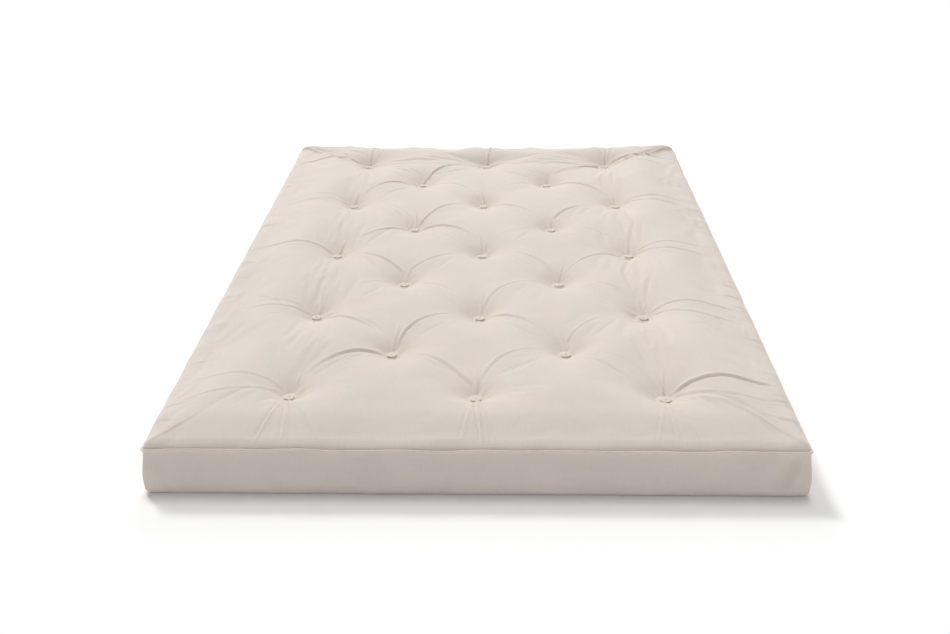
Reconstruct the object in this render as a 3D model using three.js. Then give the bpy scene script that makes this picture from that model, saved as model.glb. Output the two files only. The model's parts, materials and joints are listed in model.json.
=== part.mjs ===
// Futon mattress: a boxed canvas cover, quilted through its filling by twine ties.
// Millimetres, +Z up, +Y along the length. Origin: centre of the underside, on the floor.
import * as THREE from 'three';

// Driving dimensions
const LENGTH = 2000;
const WIDTH = 1400;
const THICKNESS = 160; // floor to the crown between two ties
const BORDER_HEIGHT = 108; // floor to the seam that joins the border to the top panel
const COLUMN_PITCH = 422; // between neighbouring ties in one row
const ROW_PITCH = 203; // between neighbouring rows of ties
const TIE_DEPTH = 36; // how far a tie pulls the top panel down below the crown
const UNDERSIDE_DEPTH = 15; // how far a tie pulls the bottom panel up off the floor
const CORE_THICKNESS = 50;
const CORE_BASE = 45; // underside of the foam core above the floor
const BATTS_PER_SIDE = 2; // layers of batting above the core, and as many below it

// Fabric, twine and clearances
const FABRIC = 1.2;
const GAP = 0.3; // between pieces that touch
const CORNER_RADIUS = 20; // of the cover, seen from above
const CORNER_STEPS = 4;
const SHOULDER_INSET = 95; // from the edge to where the top panel has reached its height
const SHOULDER_DROP = 10; // of the shoulder below the crown
const DIMPLE_RADIUS = 60; // where the steep part of a dimple ends
const DIMPLE_SHARE = 0.45; // of a tie's pull that is left at that radius, on the top
const SEAT_RADIUS = 20; // flat spot under a pad
const HOLE_RADIUS = 4; // through the panels, the batts and the core, for the twine
const PAD_RADIUS = 13;
const PAD_THICKNESS = 3;
const PAD_HOLE_RADIUS = 2.2;
const TWINE_RADIUS = 1.5;
const KNOT_RADIUS = 3;
const KNOT_HEIGHT = 2;
const ROUND_STEPS = 8; // sides of a pad or a length of twine

// The ties stand on every second crossing of a lattice, so that rows of three and two take turns.
const HALF_COLUMNS = 2;
const HALF_ROWS = 4;

const MATERIALS = {
  canvas: { color: 0xded5cb, roughness: 0.92, metalness: 0 },
  batting: { color: 0xf1ece0, roughness: 1, metalness: 0 },
  foam: { color: 0xf0e6b4, roughness: 0.95, metalness: 0 },
  felt: { color: 0xe2d9ce, roughness: 0.95, metalness: 0 },
  twine: { color: 0xe6ddd0, roughness: 0.8, metalness: 0 },
};

const mattress = new THREE.Group();
mattress.name = 'futon_mattress';

function addPiece(name, geometry, material, parent = mattress) {
  const mesh = new THREE.Mesh(geometry, new THREE.MeshStandardMaterial(MATERIALS[material]));
  mesh.name = name;
  parent.add(mesh);
  return mesh;
}

// ---- The lattice that every quilted layer shares -------------------------------------------

// The lines of the lattice along one axis: rim, shoulder, tie lines, shoulder, rim.
function latticeLines(halfSize, inset, halfCount, pitch) {
  const lines = [-(halfSize - inset), -(halfSize - SHOULDER_INSET)];
  for (let k = -halfCount; k <= halfCount; k += 1) lines.push(k * pitch);
  lines.push(halfSize - SHOULDER_INSET, halfSize - inset);
  return lines;
}

const columnOf = (i) => i - 2 - HALF_COLUMNS;
const rowOf = (j) => j - 2 - HALF_ROWS;

// What stands at crossing (i, j): a tie, a crown between ties, the shoulder or the rim.
function kindAt(i, j) {
  const lastI = 2 * HALF_COLUMNS + 4;
  const lastJ = 2 * HALF_ROWS + 4;
  if (i === 0 || j === 0 || i === lastI || j === lastJ) return 'rim';
  if (i === 1 || j === 1 || i === lastI - 1 || j === lastJ - 1) return 'shoulder';
  return (columnOf(i) + rowOf(j)) % 2 === 0 ? 'tie' : 'crown';
}

// The four corners of a cell, counter-clockwise from its south-west one, each with the two
// directions in which a hole at that corner meets the cell's sides.
const CELL_CORNERS = [
  { di: 0, dj: 0, sides: ['north', 'east'] },
  { di: 1, dj: 0, sides: ['west', 'north'] },
  { di: 1, dj: 1, sides: ['south', 'west'] },
  { di: 0, dj: 1, sides: ['east', 'south'] },
];
const COMPASS = { east: [1, 0], north: [0, 1], west: [-1, 0], south: [0, -1] };

// A closed sheet between two height tables, with a hole at every tie and rounded corners.
// below and above map the kinds rim, shoulder, crown, dimple and tie to heights.
// Around a hole lie a flat seat for the pad and, further out, the edge of the dimple.
function quiltedSheet(inset, below, above) {
  const xs = latticeLines(WIDTH / 2, inset, HALF_COLUMNS, COLUMN_PITCH / 2);
  const ys = latticeLines(LENGTH / 2, inset, HALF_ROWS, ROW_PITCH);
  const radius = CORNER_RADIUS - inset;
  const columns = [];
  const indexOf = new Map();
  const triangles = [];
  const edges = new Map();

  function vertex(x, y, kind) {
    const key = `${x.toFixed(3)},${y.toFixed(3)}`;
    if (!indexOf.has(key)) {
      indexOf.set(key, columns.length);
      columns.push({ x, y, kind });
    }
    return indexOf.get(key);
  }

  function face(...loop) {
    for (let k = 1; k < loop.length - 1; k += 1) triangles.push([loop[0], loop[k], loop[k + 1]]);
  }

  // The quarter circle that rounds off one corner of the sheet.
  function roundedCorner(x, y) {
    const centreX = x - Math.sign(x) * radius;
    const centreY = y - Math.sign(y) * radius;
    const middle = Math.atan2(Math.sign(y), Math.sign(x));
    const points = [];
    for (let k = 0; k <= CORNER_STEPS; k += 1) {
      const angle = middle + (k / CORNER_STEPS - 0.5) * (Math.PI / 2);
      points.push(vertex(centreX + radius * Math.cos(angle), centreY + radius * Math.sin(angle), 'rim'));
    }
    return points;
  }

  function around(x, y, sides, distance, kind) {
    return sides.map((side) => vertex(x + COMPASS[side][0] * distance, y + COMPASS[side][1] * distance, kind));
  }

  for (let i = 0; i < xs.length - 1; i += 1) {
    for (let j = 0; j < ys.length - 1; j += 1) {
      const outline = [];
      let start = 0;
      for (const { di, dj, sides } of CELL_CORNERS) {
        const x = xs[i + di];
        const y = ys[j + dj];
        const kind = kindAt(i + di, j + dj);
        const onBothRims = (i + di) % (xs.length - 1) === 0 && (j + dj) % (ys.length - 1) === 0;
        if (kind === 'tie') {
          const dimple = around(x, y, sides, DIMPLE_RADIUS, 'dimple');
          const seat = around(x, y, sides, SEAT_RADIUS, 'tie');
          const hole = around(x, y, sides, HOLE_RADIUS, 'tie');
          face(dimple[0], seat[0], seat[1], dimple[1]);
          face(seat[0], hole[0], hole[1], seat[1]);
          outline.push(...dimple);
        } else if (onBothRims) {
          outline.push(...roundedCorner(x, y));
        } else {
          if (kind !== 'rim') start = outline.length;
          outline.push(vertex(x, y, kind));
        }
      }
      // The fan starts at a crown or a shoulder, so the ridge between two dimples is kept.
      face(...outline.slice(start), ...outline.slice(0, start));
    }
  }

  // Both surfaces, and a wall along every edge that only one triangle has.
  for (const [a, b, c] of triangles) {
    for (const [from, to] of [[a, b], [b, c], [c, a]]) {
      if (edges.has(`${to},${from}`)) edges.delete(`${to},${from}`);
      else edges.set(`${from},${to}`, [from, to]);
    }
  }
  const count = columns.length;
  const positions = [];
  for (const { x, y, kind } of columns) positions.push(x, y, above[kind]);
  for (const { x, y, kind } of columns) positions.push(x, y, below[kind]);
  const indices = [];
  for (const [a, b, c] of triangles) indices.push(a, b, c, c + count, b + count, a + count);
  for (const [from, to] of edges.values()) {
    indices.push(from, from + count, to + count, from, to + count, to);
  }
  const geometry = new THREE.BufferGeometry();
  geometry.setAttribute('position', new THREE.Float32BufferAttribute(positions, 3));
  geometry.setIndex(indices);
  geometry.computeVertexNormals();
  return geometry;
}

// ---- Heights of the cover's outer surfaces and of the layers between them ------------------

const KINDS = ['rim', 'shoulder', 'crown', 'dimple', 'tie'];
const tableOf = (height) => Object.fromEntries(KINDS.map((kind) => [kind, height(kind)]));

const OUTER_TOP = {
  rim: BORDER_HEIGHT + GAP + FABRIC,
  shoulder: THICKNESS - SHOULDER_DROP,
  crown: THICKNESS,
  dimple: THICKNESS - TIE_DEPTH * DIMPLE_SHARE,
  tie: THICKNESS - TIE_DEPTH,
};
const OUTER_BOTTOM = { rim: 0, shoulder: 0, crown: 0, dimple: 0, tie: UNDERSIDE_DEPTH };
const CORE_TOP = CORE_BASE + CORE_THICKNESS;

// The batts share out the height between the core and the panel evenly, with a gap at each face.
function battTable(low, high, layer, share) {
  return tableOf((kind) => low(kind) + (high(kind) - low(kind)) * share + GAP * (layer + 1));
}

function addCoverPanels() {
  const topUnder = tableOf((kind) => OUTER_TOP[kind] - FABRIC);
  const bottomOver = tableOf((kind) => OUTER_BOTTOM[kind] + FABRIC);
  addPiece('top_panel', quiltedSheet(0, topUnder, OUTER_TOP), 'canvas');
  addPiece('bottom_panel', quiltedSheet(0, OUTER_BOTTOM, bottomOver), 'canvas');
}

function addBatts() {
  const inset = FABRIC + GAP;
  const spare = GAP * (BATTS_PER_SIDE + 1);
  const sides = [
    { name: 'lower_batt', low: (kind) => OUTER_BOTTOM[kind] + FABRIC, high: () => CORE_BASE - spare },
    { name: 'upper_batt', low: () => CORE_TOP, high: (kind) => OUTER_TOP[kind] - FABRIC - spare },
  ];
  for (const { name, low, high } of sides) {
    for (let layer = 0; layer < BATTS_PER_SIDE; layer += 1) {
      const below = battTable(low, high, layer, layer / BATTS_PER_SIDE);
      const above = battTable(low, high, layer, (layer + 1) / BATTS_PER_SIDE);
      addPiece(`${name}_${layer + 1}`, quiltedSheet(inset, below, above), 'batting');
    }
  }
}

// ---- Flat foam core ------------------------------------------------------------------------

function tiePlaces() {
  const places = [];
  for (let row = -HALF_ROWS; row <= HALF_ROWS; row += 1) {
    let number = 0;
    for (let column = -HALF_COLUMNS; column <= HALF_COLUMNS; column += 1) {
      if ((column + row) % 2 === 0) {
        number += 1;
        places.push({
          name: `r${row + HALF_ROWS + 1}c${number}`,
          x: (column * COLUMN_PITCH) / 2,
          y: row * ROW_PITCH,
        });
      }
    }
  }
  return places;
}

function addCore() {
  const inset = FABRIC + GAP;
  const halfX = WIDTH / 2 - inset;
  const halfY = LENGTH / 2 - inset;
  const radius = CORNER_RADIUS - inset;
  const outline = new THREE.Shape();
  outline.moveTo(-halfX + radius, -halfY);
  outline.lineTo(halfX - radius, -halfY);
  outline.absarc(halfX - radius, -halfY + radius, radius, -Math.PI / 2, 0, false);
  outline.absarc(halfX - radius, halfY - radius, radius, 0, Math.PI / 2, false);
  outline.absarc(-halfX + radius, halfY - radius, radius, Math.PI / 2, Math.PI, false);
  outline.absarc(-halfX + radius, -halfY + radius, radius, Math.PI, 1.5 * Math.PI, false);
  for (const { x, y } of tiePlaces()) {
    const hole = new THREE.Path();
    hole.moveTo(x + HOLE_RADIUS, y);
    hole.lineTo(x, y + HOLE_RADIUS);
    hole.lineTo(x - HOLE_RADIUS, y);
    hole.lineTo(x, y - HOLE_RADIUS);
    hole.closePath();
    outline.holes.push(hole);
  }
  const slab = new THREE.ExtrudeGeometry(outline, {
    depth: CORE_THICKNESS,
    bevelEnabled: false,
    curveSegments: CORNER_STEPS,
  });
  addPiece('foam_core', slab, 'foam').position.z = CORE_BASE;
}

// ---- Border: four strips that meet in a seam at the middle of each rounded corner -----------

function borderStrip(length) {
  const base = FABRIC + GAP; // stands on the bottom panel
  const reach = length / 2 - CORNER_RADIUS;
  const seamAngle = GAP / 2 / CORNER_RADIUS;
  const outline = new THREE.Shape();
  outline.absarc(reach, CORNER_RADIUS, CORNER_RADIUS, -Math.PI / 2, -Math.PI / 4 - seamAngle, false);
  outline.absarc(reach, CORNER_RADIUS, CORNER_RADIUS - FABRIC, -Math.PI / 4 - seamAngle, -Math.PI / 2, true);
  outline.absarc(-reach, CORNER_RADIUS, CORNER_RADIUS - FABRIC, -Math.PI / 2, -0.75 * Math.PI + seamAngle, true);
  outline.absarc(-reach, CORNER_RADIUS, CORNER_RADIUS, -0.75 * Math.PI + seamAngle, -Math.PI / 2, false);
  const strip = new THREE.ExtrudeGeometry(outline, {
    depth: BORDER_HEIGHT - base,
    bevelEnabled: false,
    curveSegments: CORNER_STEPS,
  });
  strip.translate(0, 0, base);
  return strip;
}

function addBorder() {
  const sides = [
    { name: 'border_front', length: WIDTH, away: LENGTH / 2, turn: 0 },
    { name: 'border_right', length: LENGTH, away: WIDTH / 2, turn: Math.PI / 2 },
    { name: 'border_back', length: WIDTH, away: LENGTH / 2, turn: Math.PI },
    { name: 'border_left', length: LENGTH, away: WIDTH / 2, turn: -Math.PI / 2 },
  ];
  for (const { name, length, away, turn } of sides) {
    const strip = addPiece(name, borderStrip(length), 'canvas');
    strip.position.set(away * Math.sin(turn), -away * Math.cos(turn), 0);
    strip.rotation.z = turn;
  }
}

// ---- Ties: a felt pad on the top panel, and twine that runs down to a pad underneath --------

function latheSolid(profile) {
  const solid = new THREE.LatheGeometry(profile.map(([r, z]) => new THREE.Vector2(r, z)), ROUND_STEPS);
  solid.rotateX(Math.PI / 2);
  return solid;
}

function topPad() {
  const bevel = PAD_THICKNESS / 3;
  return latheSolid([
    [PAD_HOLE_RADIUS, 0],
    [PAD_RADIUS - bevel, 0],
    [PAD_RADIUS, bevel],
    [PAD_RADIUS - 2 * bevel, PAD_THICKNESS],
    [PAD_HOLE_RADIUS, PAD_THICKNESS],
    [PAD_HOLE_RADIUS, 0],
  ]);
}

// Heights here are above the floor: the lower pad, the twine, and the knot over the top pad.
function twineWithLowerPad() {
  const padTop = OUTER_BOTTOM.tie - GAP;
  const knotBase = OUTER_TOP.tie + PAD_THICKNESS + 2 * GAP;
  return latheSolid([
    [0, padTop - PAD_THICKNESS],
    [PAD_RADIUS, padTop - PAD_THICKNESS],
    [PAD_RADIUS, padTop],
    [TWINE_RADIUS, padTop],
    [TWINE_RADIUS, knotBase],
    [KNOT_RADIUS, knotBase],
    [KNOT_RADIUS, knotBase + KNOT_HEIGHT],
    [0, knotBase + KNOT_HEIGHT],
  ]);
}

function addTies() {
  for (const { name, x, y } of tiePlaces()) {
    const tuft = new THREE.Group();
    tuft.position.set(x, y, 0);
    addPiece(`tuft_pad_${name}`, topPad(), 'felt', tuft).position.z = OUTER_TOP.tie + GAP;
    addPiece(`tuft_tie_${name}`, twineWithLowerPad(), 'twine', tuft);
    mattress.add(tuft);
  }
}

addCoverPanels();
addBorder();
addCore();
addBatts();
addTies();

export default mattress;
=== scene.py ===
"""Futon mattress: boxed canvas cover, tied through its filling with twine and felt pads.

Lengths are metres, in the CAD model's frame: +X across the width, +Y along the length away from
the near end, +Z up. The underside rests at z = 0.
"""

import json
import math

import bpy
import numpy as np
from mathutils import Matrix, Vector


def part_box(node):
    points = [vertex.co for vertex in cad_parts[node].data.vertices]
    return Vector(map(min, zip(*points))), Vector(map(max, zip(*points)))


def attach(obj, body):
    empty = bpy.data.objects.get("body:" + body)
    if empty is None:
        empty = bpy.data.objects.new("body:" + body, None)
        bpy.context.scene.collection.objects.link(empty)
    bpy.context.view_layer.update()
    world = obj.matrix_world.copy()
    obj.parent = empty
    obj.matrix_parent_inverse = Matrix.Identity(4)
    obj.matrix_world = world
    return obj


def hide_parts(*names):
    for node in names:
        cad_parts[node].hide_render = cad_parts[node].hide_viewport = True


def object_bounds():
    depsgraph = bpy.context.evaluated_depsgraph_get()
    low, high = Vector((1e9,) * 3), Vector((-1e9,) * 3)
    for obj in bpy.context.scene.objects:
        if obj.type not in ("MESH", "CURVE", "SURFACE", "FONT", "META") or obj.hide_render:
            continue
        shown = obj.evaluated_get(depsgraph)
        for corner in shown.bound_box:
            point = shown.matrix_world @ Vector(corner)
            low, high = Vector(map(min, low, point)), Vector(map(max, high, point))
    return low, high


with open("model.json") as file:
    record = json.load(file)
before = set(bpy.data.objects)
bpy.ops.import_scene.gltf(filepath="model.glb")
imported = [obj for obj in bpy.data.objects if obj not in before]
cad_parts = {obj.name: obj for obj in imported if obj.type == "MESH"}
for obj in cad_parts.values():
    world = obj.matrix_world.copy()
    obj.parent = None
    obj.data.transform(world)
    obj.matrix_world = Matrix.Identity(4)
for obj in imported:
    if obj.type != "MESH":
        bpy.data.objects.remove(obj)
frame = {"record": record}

# ---- sizes, from the CAD model
CAD_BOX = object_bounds()
HALF_X = CAD_BOX[1].x
HALF_Y = CAD_BOX[1].y
CROWN = CAD_BOX[1].z
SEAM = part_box("border_front")[1].z
CORE_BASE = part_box("foam_core")[0].z
CORE_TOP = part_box("foam_core")[1].z
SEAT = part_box("tuft_pad_r1c1")[0].z - 0.0003
UNDER_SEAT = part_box("tuft_tie_r1c1")[0].z
PAD_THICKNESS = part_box("tuft_pad_r1c1")[1].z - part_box("tuft_pad_r1c1")[0].z
PAD_SUNK = PAD_THICKNESS * 0.72  # height of a pad under its stitch
TIE_KEYS = sorted(
    part["node"].split("_")[-1]
    for part in frame["record"]["subparts"]
    if part["node"].startswith("tuft_pad_")
)

# ---- choices
SEED = 5
LENS = 41.21
CAMERA_TURNS = (1.5, 26.24, -0.55)  # heading, pitch and roll in degrees
CAMERA_PLACE = (0.054, -2.911, 1.363)
FLOOR_LEVEL = -0.0004
FLOOR_REACH = 40
TIE_STRAY = 0.003  # how far a hand-set tie is off its place
TIE_DRAW = 0.0012  # how far it is drawn deeper or less deep
PAD_RADIUS = 0.0126
TWINE = 0.0011  # radius
TWINE_LAY = 0.0045  # pitch of its twist
KNOT_LAY = 0.0040
STITCH_HALF = 0.0030
YARN = 0.0011  # pitch of the canvas's weave
SIM_COLUMNS = 210
SIM_ROWS = 300
SIM_FRAMES = 16
PRESS_STEP = 0.004  # grid on which the inflated panel is pressed
PANEL_STEP = 0.003  # grid of the finished panel
SEAM_STEPS = (0.0007, 0.0014, 0.0022)  # its extra lines, from each seam
ROLL_NEAR = 0.12  # breadth of the rolled edge before the panel is inflated
ROLL_FAR = 0.06
ROLL_SIDE = 0.09
GROOVE = 0.0038  # how far the panel is drawn in at its seam
GROOVE_DEPTH = 0.0030
SEAM_LIP_BELOW = 0.0022
UNDER_INSET = 0.0020  # of the bottom panel's edge
BORDER_BULGE = 0.0070
BORDER_ROUNDING = 0.012  # radius at the floor
BORDER_STEP = 0.006
DENT_DEPTH = 0.0042  # of a slack fold near the end of a border strip
DENT_RIDGE = 0.0016
CORNER_ARCS = 6  # grid steps round half a corner
PUFF_NEAR = 0.004  # height of the fullness inside each seam
PUFF_FAR = 0.021
PUFF_SIDE = 0.014
SWELL_FAR = 0.0045  # how far the edge swells out over its seam
SWELL_SIDE = 0.0055
FOLD_LIP = 0.75  # height of a fold's lip, as a share of its groove
ARC_DEPTH = 0.0048
DRAW_DEPTH = 0.0040
DRAW_WIDTH = 0.0036
WRINKLE_DEPTH = 0.0022
CREASE_WIDTH = 0.0030
FAN_RISE = 0.0036
FAN_WIDTH = 0.0026
PUCKER = 0.0007
SEAM_WAVER = (0.0009, 0.00022)  # its slow and its quick part
SIDE_REACH = 0.012  # a rim point this close to a side belongs to it
HEM_STRETCH = 1.008
LAYER_GAP = 0.0006  # room between layers of filling


# ---- arrays
def draws(number):
    """A seeded source of random numbers; each use has its own number."""
    return np.random.default_rng(SEED + number)


def smooth(t):
    t = np.clip(t, 0, 1)
    return t * t * (3 - 2 * t)


def ripples(rng, x, y, count, low, high):
    """Sum of sine waves in random directions, about 1 high, with wavelengths from low to high."""
    total = np.zeros(np.broadcast(x, y).shape)
    for _ in range(count):
        wavelength = math.exp(rng.uniform(math.log(low), math.log(high)))
        turn = rng.uniform(0, math.pi)
        phase = rng.uniform(0, 2 * math.pi)
        across = x * math.cos(turn) + y * math.sin(turn)
        total += np.sin(2 * math.pi * across / wavelength + phase)
    return total / math.sqrt(count / 2)


def shifted(a, reach, axis):
    """A grid moved by each of -reach to reach steps along an axis, its edge values repeated."""
    margins = [(reach, reach) if k == axis else (0, 0) for k in (0, 1)]
    padded = np.pad(a, margins, mode="edge")
    for k in range(2 * reach + 1):
        yield np.take(padded, range(k, k + a.shape[axis]), axis)


def blur(a, sigma):
    """Gaussian blur of a grid, sigma in grid steps."""
    reach = int(3 * sigma) + 1
    weights = np.exp(-0.5 * (np.arange(-reach, reach + 1) / sigma) ** 2)
    weights /= weights.sum()
    for axis in (0, 1):
        a = sum(w * moved for w, moved in zip(weights, shifted(a, reach, axis)))
    return a


def lowest_near(a, reach):
    """Lowest value within reach grid steps of each point."""
    for axis in (0, 1):
        a = np.min(list(shifted(a, reach, axis)), axis=0)
    return a


def resample(a, at, axis):
    """Cubic interpolation of a grid along one axis, at places given from 0 to 1."""
    a = np.moveaxis(a, axis, 0)
    at = at * (len(a) - 1)
    i = np.clip(at.astype(int), 0, len(a) - 2)
    f = (at - i).reshape((-1,) + (1,) * (a.ndim - 1))
    before = a[np.maximum(i - 1, 0)]
    here = a[i]
    after = a[i + 1]
    beyond = a[np.minimum(i + 2, len(a) - 1)]
    bend = 2 * before - 5 * here + 4 * after - beyond
    twist = 3 * (here - after) + beyond - before
    out = here + 0.5 * f * (after - before + f * (bend + f * twist))
    return np.moveaxis(out, 0, axis)


def resized(a, columns, rows):
    """A grid interpolated to other numbers of columns and rows."""
    a = resample(a, np.linspace(0, 1, columns + 1), 0)
    return resample(a, np.linspace(0, 1, rows + 1), 1)


def panel_lines(half):
    """Grid lines across the top panel, closer together next to its seams."""
    even = np.linspace(-half, half, round(2 * half / PANEL_STEP) + 1)
    beside = np.array(SEAM_STEPS)
    return np.sort(np.concatenate([even, beside - half, half - beside]))


def without_beside(a):
    """The values of a panel grid on its evenly spaced lines only."""
    for axis in (0, 1):
        last = a.shape[axis] - 1
        skip = len(SEAM_STEPS) + 1
        kept = np.concatenate([[0], np.arange(skip, last - skip + 1), [last]])
        a = np.take(a, kept, axis)
    return a


def plan(columns, rows):
    """x and y of a grid over the whole mattress."""
    x = np.linspace(-HALF_X, HALF_X, columns + 1)
    y = np.linspace(-HALF_Y, HALF_Y, rows + 1)
    return np.meshgrid(x, y, indexing="ij")


def from_sides(x):
    return HALF_X - np.abs(x)


def from_ends(y):
    return HALF_Y - np.abs(y)


def from_edge(x, y):
    return np.minimum(from_sides(x), from_ends(y))


def square_to_round(x, y, half_width, half_length, radius):
    """Pull the square corners of a plan in to a radius."""
    over_x = np.abs(x) - (half_width - radius)
    over_y = np.abs(y) - (half_length - radius)
    corner = (over_x > 0) & (over_y > 0)
    share = np.ones_like(x)
    length = np.hypot(over_x, over_y)[corner]
    share[corner] = np.maximum(over_x, over_y)[corner] / length
    round_x = np.sign(x) * (half_width - radius + over_x * share)
    round_y = np.sign(y) * (half_length - radius + over_y * share)
    return np.where(corner, round_x, x), np.where(corner, round_y, y)


def seam_wave(x, y):
    """Small waver of the sewn seam, the same for every piece that meets it."""
    rng = draws(20)
    slow = ripples(rng, x, y, 10, 0.10, 0.45)
    quick = ripples(rng, x, y, 8, 0.02, 0.06)
    return SEAM_WAVER[0] * slow + SEAM_WAVER[1] * quick


# ---- ties
def tie_places():
    """Each tie's key and its slightly hand-set place in plan, with how deep it is drawn."""
    rng = draws(0)
    out = []
    for key in TIE_KEYS:
        low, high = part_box("tuft_pad_" + key)
        x = (low.x + high.x) / 2 + rng.uniform(-TIE_STRAY, TIE_STRAY)
        y = (low.y + high.y) / 2 + rng.uniform(-TIE_STRAY, TIE_STRAY)
        out.append((key, x, y, rng.uniform(-TIE_DRAW, TIE_DRAW)))
    return out


TIES = tie_places()


def from_ties(x, y):
    """Distance to the nearest tie, and how deep that tie is drawn."""
    gaps = np.stack([np.hypot(x - tie[1], y - tie[2]) for tie in TIES])
    return gaps.min(0), np.array([tie[3] for tie in TIES])[gaps.argmin(0)]


# ---- meshes
def add_mesh(name, points, quads, uv=None, caps=()):
    """A smooth mesh object from points, quads, flat cloth coordinates in metres, and triangles."""
    corners = np.concatenate([np.ravel(quads), np.ravel(caps)]).astype(np.int32)
    quad_starts = 4 * np.arange(len(quads))
    cap_starts = 4 * len(quads) + 3 * np.arange(len(caps))
    starts = np.concatenate([quad_starts, cap_starts]).astype(np.int32)
    mesh = bpy.data.meshes.new(name)
    mesh.vertices.add(len(points))
    mesh.vertices.foreach_set("co", np.asarray(points, np.float32).ravel())
    mesh.loops.add(len(corners))
    mesh.loops.foreach_set("vertex_index", corners)
    mesh.polygons.add(len(starts))
    mesh.polygons.foreach_set("loop_start", starts)
    mesh.update(calc_edges=True)
    mesh.polygons.foreach_set("use_smooth", np.ones(len(starts), bool))
    if uv is not None:
        layer = mesh.uv_layers.new(name="cloth")
        flat = np.asarray(uv, np.float32)[corners]
        layer.data.foreach_set("uv", flat.ravel())
    piece = bpy.data.objects.new(name, mesh)
    bpy.context.scene.collection.objects.link(piece)
    return piece


def as_points(x, y, z):
    return np.stack([x, y, z], -1).reshape(-1, 3)


def steps(x):
    """Numbers of columns and rows of a grid of points."""
    return x.shape[0] - 1, x.shape[1] - 1


def grid_faces(columns, rows, upward=True):
    index = np.arange((columns + 1) * (rows + 1)).reshape(columns + 1, rows + 1)
    loop = [index[:-1, :-1], index[1:, :-1], index[1:, 1:], index[:-1, 1:]]
    if not upward:
        loop = loop[::-1]
    return np.stack(loop, -1).reshape(-1, 4)


def rim_of(columns, rows):
    """Indices round the rim of a grid, counterclockwise from above."""
    index = np.arange((columns + 1) * (rows + 1)).reshape(columns + 1, rows + 1)
    sides = [index[:-1, 0], index[-1, :-1], index[:0:-1, -1], index[0, :0:-1]]
    return np.concatenate(sides)


def ring_faces(outer, inner, upward=True):
    """Quads between two rings of the same length."""
    loop = [outer, np.roll(outer, -1), np.roll(inner, -1), inner]
    if not upward:
        loop = loop[::-1]
    return np.stack(loop, -1)


def on_side(corner):
    """1 for the coordinates in which a rim point lies on a side of the plan, 0 for the others."""
    span = np.abs(corner[:, :2]).max(0)
    return (np.abs(corner[:, :2]) > span - SIDE_REACH).astype(float)


def add_hem(points, uv, faces, rim, turns, upward):
    """Fold seam allowance under, as rings beyond the rim; turns are (inward, rise) pairs."""
    corner = points[rim]
    inward_way = np.sign(corner[:, :2]) * on_side(corner)
    last = rim
    for inward, rise in turns:
        ring = corner.copy()
        ring[:, :2] -= inward_way * inward
        ring[:, 2] += rise
        new = np.arange(len(points), len(points) + len(ring))
        faces = np.concatenate([faces, ring_faces(new, last, upward)])
        points = np.concatenate([points, ring])
        uv = np.concatenate([uv, uv[rim] * HEM_STRETCH])
        last = new
    return points, uv, faces


def closed_slab(name, x, y, low, high):
    """A closed solid between two height fields on one plan grid."""
    columns, rows = steps(x)
    bottom, top = as_points(x, y, low), as_points(x, y, high)
    count = len(bottom)
    rim = rim_of(columns, rows)
    faces = np.concatenate([
        grid_faces(columns, rows, upward=False),
        grid_faces(columns, rows) + count,
        ring_faces(rim, rim + count),
    ])
    return add_mesh(name, np.concatenate([bottom, top]), faces)


def run_along(points):
    """How far along a path each of its points lies."""
    step = np.linalg.norm(np.diff(points, axis=0), axis=1)
    return np.concatenate([[0], np.cumsum(step)])


def tube_faces(rows, sides):
    """Indices of rings of points, those of each point's neighbour, and the quads between rings."""
    index = np.arange(rows * sides).reshape(rows, sides)
    turned = np.roll(index, -1, axis=1)
    faces = np.stack([index[:-1], turned[:-1], turned[1:], index[1:]], -1).reshape(-1, 4)
    return index, turned, faces


def tube(points, radius, sides, lay):
    """A tube of two twisted plies along points. lay is the pitch of the twist."""
    along = np.gradient(points, axis=0)
    along /= np.linalg.norm(along, axis=1)[:, None]
    distance = run_along(points)
    side = np.cross(along[0], [0.3, 0.9, 0.1])
    angle = np.linspace(0, 2 * math.pi, sides, endpoint=False)
    rings = []
    for place, heading, run in zip(points, along, distance):
        side = side - heading * side.dot(heading)
        side /= np.linalg.norm(side)
        other = np.cross(heading, side)
        swell = 0.86 + 0.24 * np.abs(np.cos(angle - math.pi * run / lay))
        spoke = np.cos(angle)[:, None] * side + np.sin(angle)[:, None] * other
        rings.append(place + radius * spoke * swell[:, None])
    rows = len(points)
    ring = np.concatenate(rings)
    index, turned, faces = tube_faces(rows, sides)
    ends = np.array([points[0] - along[0] * radius * 0.3, points[-1] + along[-1] * radius * 0.3])
    first = np.stack([turned[0], index[0], np.full(sides, len(ring))], -1)
    last = np.stack([index[-1], turned[-1], np.full(sides, len(ring) + 1)], -1)
    caps = np.concatenate([first, last])
    round_it = np.tile(angle / (2 * math.pi) * 0.006, rows)
    flat = np.stack([round_it, np.repeat(distance, sides)], -1)
    flat = np.concatenate([flat, np.zeros((2, 2))])
    return np.concatenate([ring, ends]), faces, caps, flat


def joined(parts):
    """Points, quads, triangles and flat coordinates of several tubes as one."""
    out, shift = [], 0
    for points, quads, caps, flat in parts:
        out.append((points, quads + shift, caps + shift, flat))
        shift += len(points)
    return tuple(np.concatenate(arrays) for arrays in zip(*out))


# ---- materials
def material(name, base, roughness, sheen=0.0):
    """A new material, its node tree and its shader."""
    made = bpy.data.materials.new(name)
    made.use_nodes = True
    shader = made.node_tree.nodes["Principled BSDF"]
    shader.inputs["Base Color"].default_value = (*base, 1)
    shader.inputs["Roughness"].default_value = roughness
    shader.inputs["Specular IOR Level"].default_value = 0.25
    shader.inputs["Sheen Weight"].default_value = sheen
    shader.inputs["Sheen Roughness"].default_value = 0.5
    return made, made.node_tree, shader


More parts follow.
